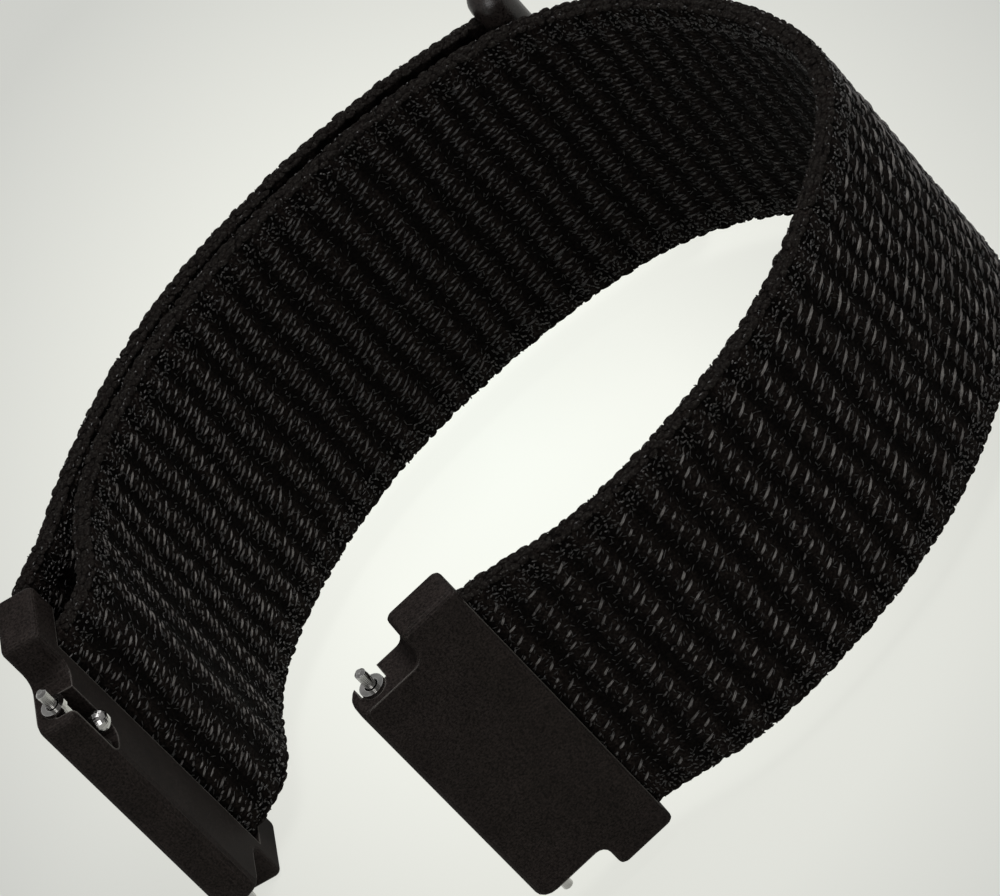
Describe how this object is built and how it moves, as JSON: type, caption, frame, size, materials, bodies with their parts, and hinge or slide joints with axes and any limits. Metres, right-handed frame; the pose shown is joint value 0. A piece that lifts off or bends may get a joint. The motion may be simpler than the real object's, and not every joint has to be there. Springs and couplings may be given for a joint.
{
  "type": "hook and loop watch strap",
  "caption": "Woven hook and loop watch strap closed into its loop, with a sliding frame adapter, a fixed adapter, sprung bars and a stop bar on its free end.",
  "frame": {"origin": "bottom centre of the closed strap's box, standing on the lower edge of its adapters", "axes": "+Z along the band's width towards the release knobs, +Y from the watch's place to the back of the wrist, +X from adapter B to adapter A"},
  "size_m": [0.0566, 0.0586, 0.029],
  "materials": {
    "band_nylon": "woven, matt black with pale flecks",
    "hook_nylon": "moulded hooks, black",
    "moulded_plastic": "fine grained, matt dark grey",
    "stainless_steel": "bright"
  },
  "bodies": {
    "band": {"strap_back": "band_nylon"},
    "front_end": {"strap_front": "band_nylon", "housing_a": "moulded_plastic", "hem_pin": "stainless_steel", "bar_tube_a": "stainless_steel", "bar_fixed_tip_a": "stainless_steel", "bar_spring_a": "stainless_steel"},
    "plunger_a": {"bar_plunger_a": "stainless_steel", "bar_knob_a": "stainless_steel"},
    "adapter_b": {"housing_b": "moulded_plastic", "cross_bar": "stainless_steel", "bar_tube_b": "stainless_steel", "bar_fixed_tip_b": "stainless_steel", "bar_spring_b": "stainless_steel"},
    "plunger_b": {"bar_plunger_b": "stainless_steel", "bar_knob_b": "stainless_steel"},
    "tail_root": {"tail_near": "band_nylon"},
    "tail_mid": {"tail_middle": "band_nylon"},
    "tail_tip": {"tail_end": "band_nylon", "hook_patch": "hook_nylon", "pull_tab": "moulded_plastic"}
  },
  "joints": [
    {"name": "band_flex", "type": "hinge", "parent": "band", "child": "front_end", "pos_m": [0.02169, 0.02174, 0.0145], "axis": [0, 0, 1], "range_deg": [-10, 45]},
    {"name": "adapter_b_tilt", "type": "hinge", "parent": "band", "child": "adapter_b", "pos_m": [-0.02418, -0.02161, 0.0145], "axis": [0, 0, 1], "range_deg": [-20, 20]},
    {"name": "tail_lift", "type": "hinge", "parent": "band", "child": "tail_root", "pos_m": [-0.02418, -0.02161, 0.0145], "axis": [0, 0, 1], "range_deg": [0, 35]},
    {"name": "tail_bend_middle", "type": "hinge", "parent": "tail_root", "child": "tail_mid", "pos_m": [-0.02729, -0.00311, 0.0145], "axis": [0, 0, 1], "range_deg": [0, 50]},
    {"name": "tail_bend_end", "type": "hinge", "parent": "tail_mid", "child": "tail_tip", "pos_m": [-0.02063, 0.01356, 0.0145], "axis": [0, 0, 1], "range_deg": [0, 50]},
    {"name": "release_a", "type": "slide", "parent": "front_end", "child": "plunger_a", "axis": [0, 0, -1], "range_m": [0, 0.0013], "stiffness_N_per_m": 400, "springref_m": -0.002, "deforming": ["bar_spring_a"]},
    {"name": "release_b", "type": "slide", "parent": "adapter_b", "child": "plunger_b", "axis": [0, 0, -1], "range_m": [0, 0.0013], "stiffness_N_per_m": 400, "springref_m": -0.002, "deforming": ["bar_spring_b"]}
  ]
}
